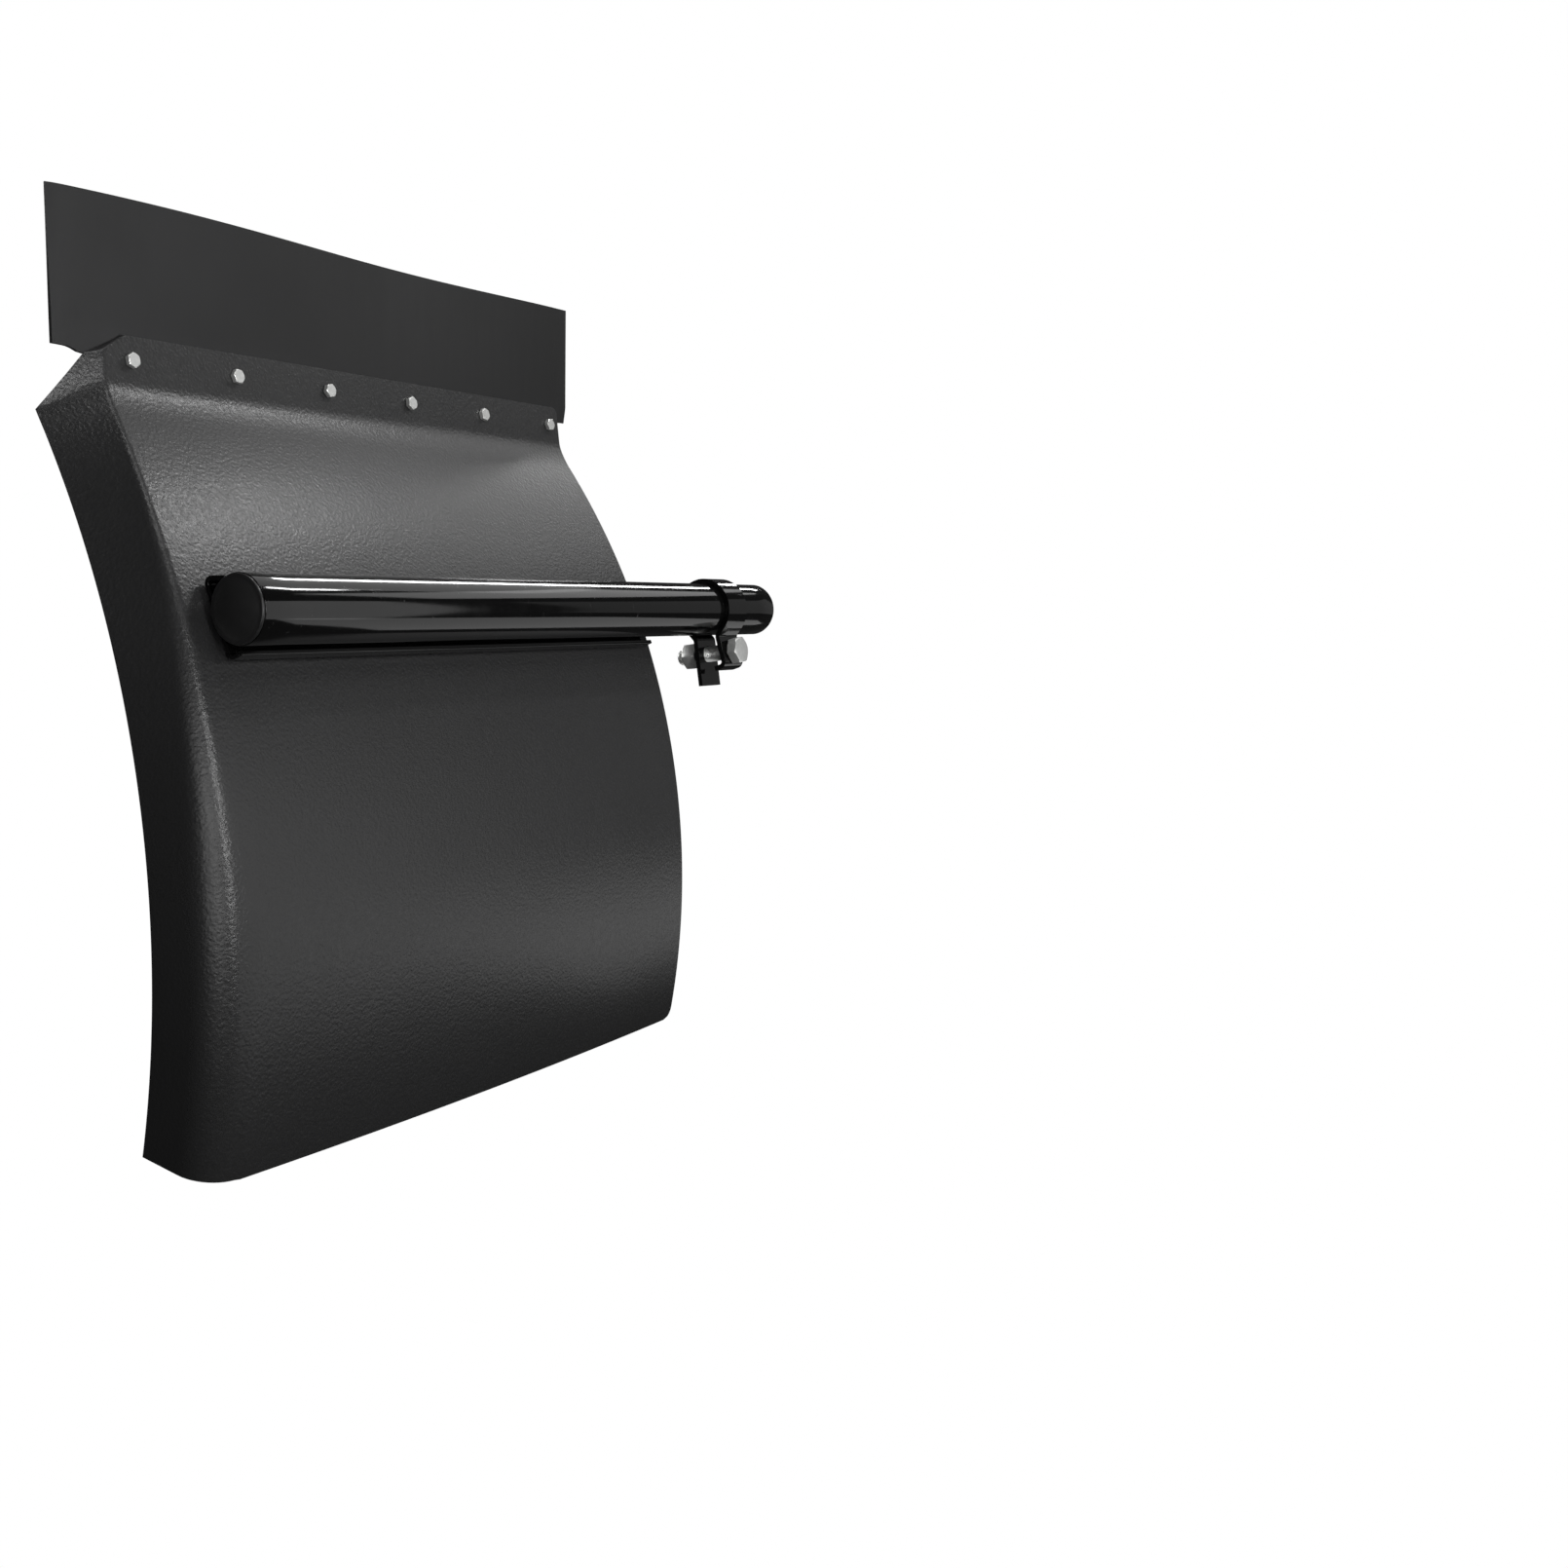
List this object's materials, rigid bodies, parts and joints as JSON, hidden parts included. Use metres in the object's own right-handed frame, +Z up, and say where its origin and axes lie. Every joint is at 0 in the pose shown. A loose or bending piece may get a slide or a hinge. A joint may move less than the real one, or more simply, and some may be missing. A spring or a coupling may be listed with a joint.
{
  "type": "mud flap",
  "caption": "Quarter-fender mud flap: curved plastic shell with a side skirt, rubber flap screwed to its top flange, round mounting tube and one-bolt strap clamp.",
  "frame": {"origin": "on the mounting tube's axis, at the middle of the strap clamp that holds the unit to the truck", "axes": "+X inboard along the mounting tube, +Y rearward towards the wheel side of the shell, +Z up"},
  "size_m": [0.7581, 0.177, 0.6871],
  "materials": {
    "moulded_plastic": "textured black, leather grain",
    "black_rubber": "matte sheet",
    "gloss_paint": "gloss black powder coat",
    "cap_plastic": "satin black",
    "zinc_steel": "bright zinc plate"
  },
  "bodies": {
    "fender": {"backing_strip": "gloss_paint", "channel_bolt_1": "zinc_steel", "channel_bolt_2": "zinc_steel", "channel_bolt_3": "zinc_steel", "channel_bolt_4": "zinc_steel", "channel_nut_1": "zinc_steel", "channel_nut_2": "zinc_steel", "channel_nut_3": "zinc_steel", "channel_nut_4": "zinc_steel", "channel_washer_1": "zinc_steel", "channel_washer_2": "zinc_steel", "channel_washer_3": "zinc_steel", "channel_washer_4": "zinc_steel", "fender_shell": "moulded_plastic", "flange_nut_1": "zinc_steel", "flange_nut_2": "zinc_steel", "flange_nut_3": "zinc_steel", "flange_nut_4": "zinc_steel", "flange_nut_5": "zinc_steel", "flange_nut_6": "zinc_steel", "flange_screw_1": "zinc_steel", "flange_screw_2": "zinc_steel", "flange_screw_3": "zinc_steel", "flange_screw_4": "zinc_steel", "flange_screw_5": "zinc_steel", "flange_screw_6": "zinc_steel", "flange_washer_1": "zinc_steel", "flange_washer_2": "zinc_steel", "flange_washer_3": "zinc_steel", "flange_washer_4": "zinc_steel", "flange_washer_5": "zinc_steel", "flange_washer_6": "zinc_steel", "inboard_end_cap": "cap_plastic", "mounting_tube": "gloss_paint", "outboard_end_cap": "cap_plastic", "rubber_flap_tongue": "black_rubber", "tube_channel": "gloss_paint"},
    "upper_flap": {"rubber_flap_free": "black_rubber"},
    "clamp": {"clamp_strap": "gloss_paint", "clamp_bolt": "zinc_steel"},
    "clamp_washer": {"clamp_lock_washer": "zinc_steel"},
    "clamp_nut_body": {"clamp_nut": "zinc_steel"}
  },
  "joints": [
    {"name": "flap_flex", "type": "hinge", "parent": "fender", "child": "upper_flap", "pos_m": [0, 0.1305, 0.19614], "axis": [1, 0, 0], "range_deg": [-55, 55], "stiffness_Nm_per_rad": 0.8},
    {"name": "clamp_swivel", "type": "hinge", "parent": "fender", "child": "clamp", "pos_m": [0, 0, 0], "axis": [1, 0, 0], "continuous": true},
    {"name": "clamp_washer_slide", "type": "slide", "parent": "clamp", "child": "clamp_washer", "axis": [0, 0.9912, -0.1323], "range_m": [0, 0.0061]},
    {"name": "clamp_nut_spin", "type": "hinge", "parent": "clamp_washer", "child": "clamp_nut_body", "pos_m": [0, -0.00575, -0.04312], "axis": [0, 0.9912, -0.1323], "range_deg": [0, 1080]}
  ],
  "couplings": [
    {"joint": "clamp_washer_slide", "follows": "clamp_nut_spin", "m_per_rad": 0.00031831}
  ]
}
